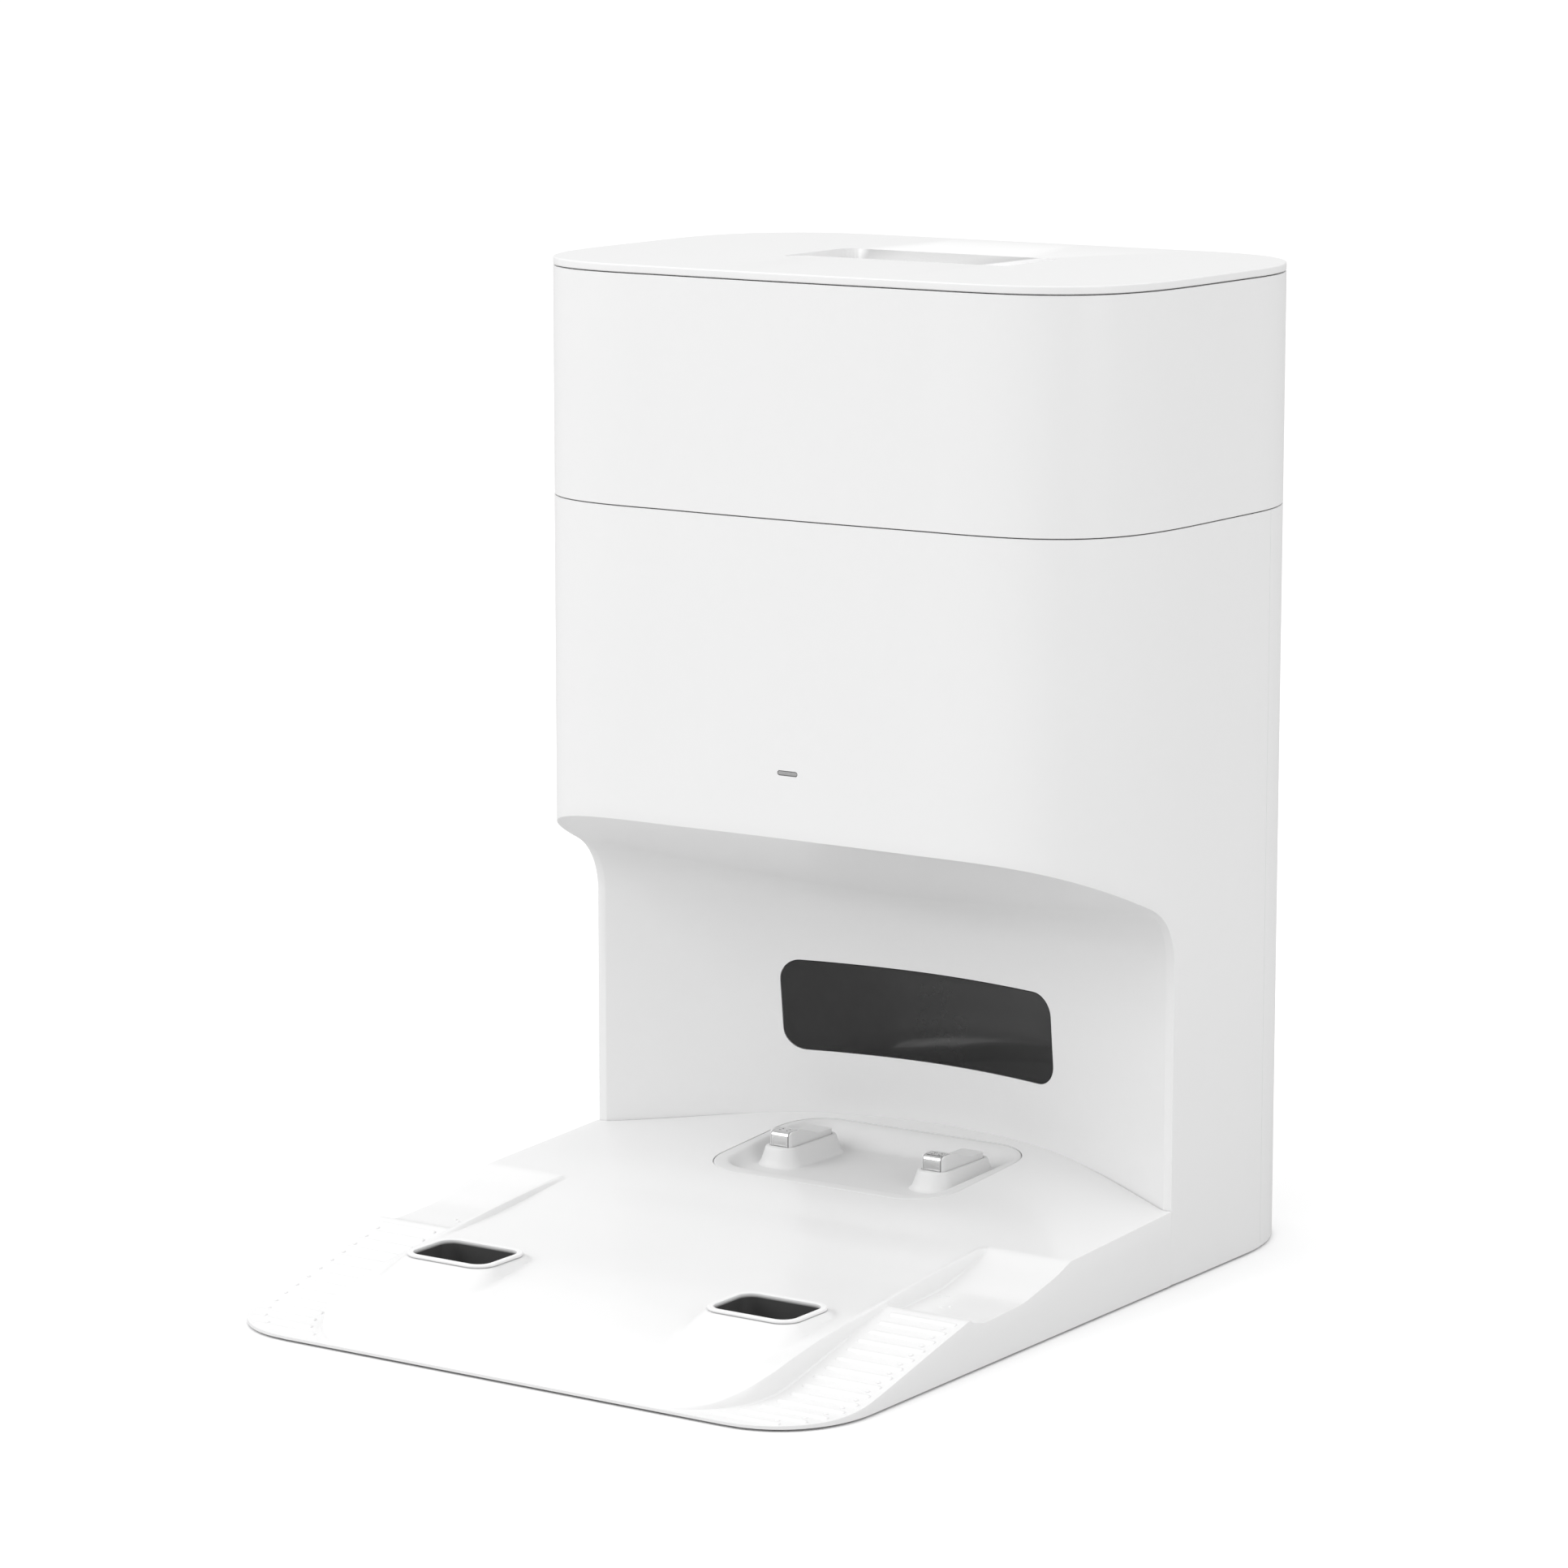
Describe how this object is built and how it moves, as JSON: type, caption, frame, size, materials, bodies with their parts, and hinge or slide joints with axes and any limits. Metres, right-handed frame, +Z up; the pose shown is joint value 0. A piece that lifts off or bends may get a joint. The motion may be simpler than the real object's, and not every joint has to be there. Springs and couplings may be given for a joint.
{
  "type": "robot vacuum base station",
  "caption": "Self-emptying charging station that a robot vacuum docks in: ramp with suction ports and sprung contacts, tower with fan, dust bag bay and hinged lid.",
  "frame": {"origin": "on the floor, under the middle of the whole station's box", "axes": "+Z up, the robot drives in from -Y towards +Y, +X to the right seen from the ramp's right when the tower is behind"},
  "size_m": [0.34, 0.466, 0.4853],
  "materials": {
    "shell_white": "satin gloss",
    "satin_white": "satin",
    "smoked_window": "polished, nearly black",
    "status_lamp": "frosted light pipe",
    "grey_plastic": "moulded",
    "black_plastic": "moulded",
    "soft_white": "soft-touch elastomer",
    "dark_rubber": "matt",
    "nickel": "bright nickel plate",
    "steel": "bare",
    "circuit_board": "solder mask",
    "bag_paper": "non-woven",
    "filter_foam": "open cell"
  },
  "bodies": {
    "station": {"base_plate": "shell_white", "main_housing": "shell_white", "rear_cover": "shell_white", "upper_housing": "shell_white", "contact_tray": "satin_white", "bag_bay": "satin_white", "exhaust_grille": "satin_white", "ir_window": "smoked_window", "status_light": "status_lamp", "ramp_bottom_cover": "grey_plastic", "floor_duct": "grey_plastic", "riser_duct": "grey_plastic", "riser_elbow": "grey_plastic", "housing_floor": "grey_plastic", "chassis_plate": "grey_plastic", "fan_housing": "grey_plastic", "fan_cover": "grey_plastic", "filter_frame": "grey_plastic", "bag_bracket": "grey_plastic", "power_inlet": "black_plastic", "power_supply": "black_plastic", "lid_switch": "black_plastic", "port_sleeve_left": "soft_white", "port_sleeve_right": "soft_white", "riser_gasket": "dark_rubber", "foot_front_left": "dark_rubber", "foot_front_right": "dark_rubber", "foot_rear_left": "dark_rubber", "foot_rear_right": "dark_rubber", "fan_mount": "dark_rubber", "inlet_seal": "dark_rubber", "lid_seal": "dark_rubber", "contact_spring_left": "steel", "contact_spring_right": "steel", "fan_motor": "steel", "hinge_pin_left": "steel", "hinge_pin_right": "steel", "cover_screw_1": "steel", "cover_screw_2": "steel", "cover_screw_3": "steel", "cover_screw_4": "steel", "ramp_screw_1": "steel", "ramp_screw_2": "steel", "ramp_screw_3": "steel", "ramp_screw_4": "steel", "ir_board": "circuit_board", "light_board": "circuit_board", "main_board": "circuit_board", "dust_bag": "bag_paper", "bag_collar": "bag_paper", "pre_motor_filter": "filter_foam", "exhaust_filter": "filter_foam"},
    "lid": {"lid": "shell_white"},
    "contact_left": {"contact_block_left": "satin_white", "contact_strip_left": "nickel"},
    "contact_right": {"contact_block_right": "satin_white", "contact_strip_right": "nickel"},
    "fan_rotor": {"fan_shaft": "steel", "fan_impeller": "black_plastic"},
    "switch_button": {"switch_plunger": "soft_white"}
  },
  "joints": [
    {"name": "lid_hinge", "type": "hinge", "parent": "station", "child": "lid", "pos_m": [0, 0.2298, 0.4813], "axis": [-1, 0, 0], "range_deg": [0, 90]},
    {"name": "contact_left_press", "type": "slide", "parent": "station", "child": "contact_left", "axis": [0, 0, -1], "range_m": [0, 0.003], "stiffness_N_per_m": 300, "springref_m": -0.003, "deforming": ["contact_spring_left"]},
    {"name": "contact_right_press", "type": "slide", "parent": "station", "child": "contact_right", "axis": [0, 0, -1], "range_m": [0, 0.003], "stiffness_N_per_m": 300, "springref_m": -0.003, "deforming": ["contact_spring_right"]},
    {"name": "fan_spin", "type": "hinge", "parent": "station", "child": "fan_rotor", "pos_m": [0, 0.0915, 0.3], "axis": [0, 0, 1], "continuous": true},
    {"name": "lid_switch_press", "type": "slide", "parent": "station", "child": "switch_button", "axis": [0, 0, -1], "range_m": [0, 0.0015], "stiffness_N_per_m": 150, "springref_m": -0.001}
  ]
}
